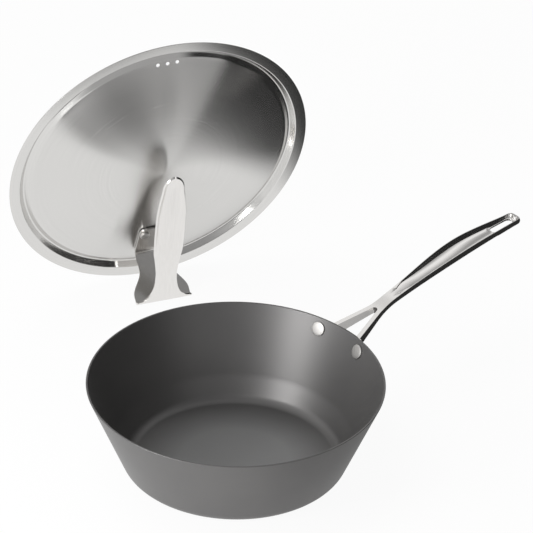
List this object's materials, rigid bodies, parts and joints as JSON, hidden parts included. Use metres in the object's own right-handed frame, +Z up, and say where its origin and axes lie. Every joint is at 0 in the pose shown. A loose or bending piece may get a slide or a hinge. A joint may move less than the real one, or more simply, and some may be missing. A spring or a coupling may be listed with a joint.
{
  "type": "stir fry pan",
  "caption": "Flared dark stir fry pan with a riveted steel fork handle, and its domed steel lid standing beside it on the fold of its own handle.",
  "frame": {"origin": "centre of the pan's flat base, on the surface it stands on", "axes": "+Z up along the pan's axis, +X out along the pan's handle, +Y to the side where the lid stands"},
  "size_m": [0.538, 0.504, 0.3102],
  "materials": {
    "dark_pan": "matt dark grey hard anodised",
    "cast_steel": "polished",
    "rivet_steel": "satin polished",
    "lid_steel": "turned brushed",
    "strip_steel": "satin polished"
  },
  "bodies": {
    "pan": {"pan_body": "dark_pan", "pan_handle": "cast_steel", "pan_rivet_left": "rivet_steel", "pan_rivet_right": "rivet_steel"},
    "lid": {"lid_panel": "lid_steel", "lid_handle": "strip_steel", "lid_rivet_left": "rivet_steel", "lid_rivet_right": "rivet_steel"}
  },
  "joints": [
    {"name": "lid_lift", "type": "slide", "parent": "pan", "child": "lid", "axis": [0, 0, 1], "range_m": [0, 0.2]}
  ]
}
